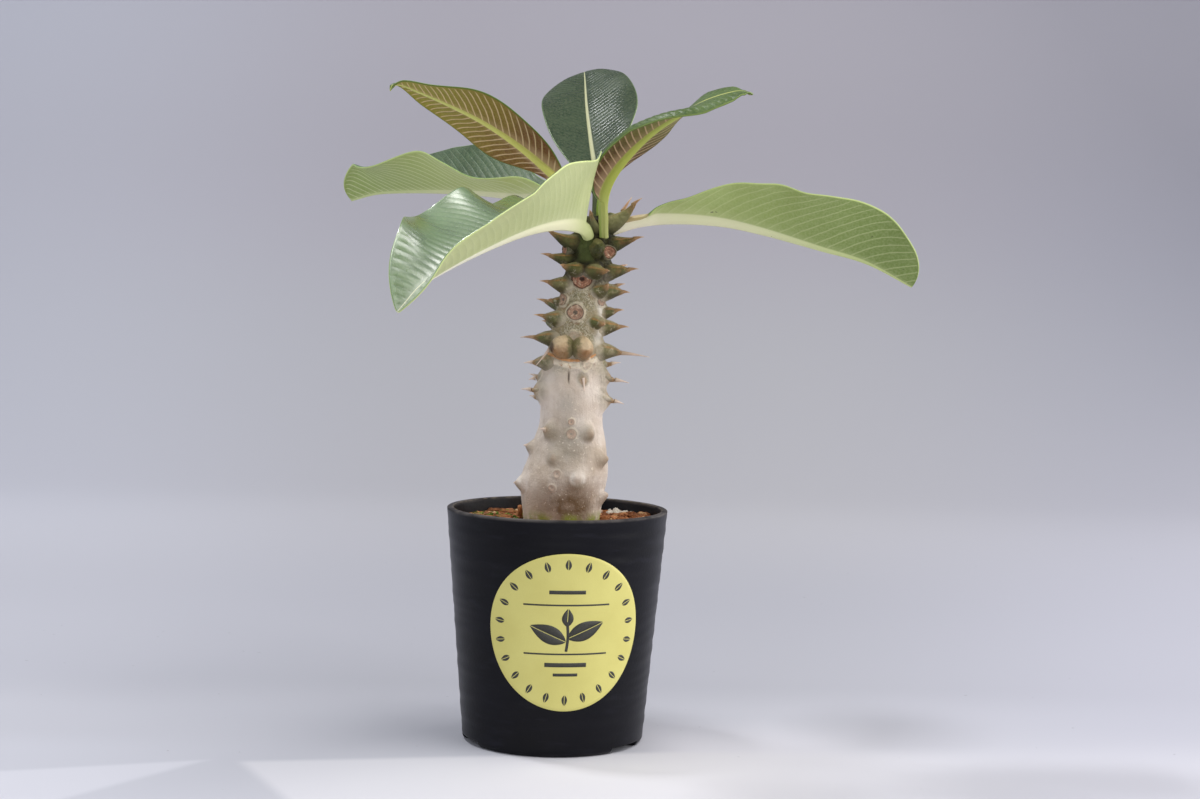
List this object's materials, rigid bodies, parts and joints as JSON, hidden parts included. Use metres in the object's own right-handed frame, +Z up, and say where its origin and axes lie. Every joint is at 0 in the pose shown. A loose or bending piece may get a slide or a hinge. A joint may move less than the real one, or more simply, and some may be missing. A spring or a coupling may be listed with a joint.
{
  "type": "potted pachypodium baronii",
  "caption": "Young spiny caudex succulent with a swollen silvery stem, paired thorns and a tuft of long leathery leaves, in a small black plastic nursery pot",
  "frame": {"origin": "centre of the pot's underside, on the surface it stands on", "axes": "+X right seen from the labelled front, +Y back away from the label, +Z up from the pot's underside to the leaves"},
  "size_m": [0.243, 0.2202, 0.2875],
  "materials": {
    "pot_plastic": "satin",
    "label_film": "satin",
    "soil_mix": "rough",
    "bark": "rough",
    "mature_leaf": "satin",
    "young_leaf": "satin",
    "bud_leaf": "satin"
  },
  "bodies": {
    "root": {"pot": "pot_plastic", "label": "label_film", "soil": "soil_mix", "trunk": "bark", "leaf_a": "young_leaf", "leaf_b": "mature_leaf", "leaf_c": "young_leaf", "leaf_d": "mature_leaf", "leaf_e": "mature_leaf", "leaf_f": "mature_leaf", "leaf_bud": "bud_leaf"}
  },
  "joints": []
}
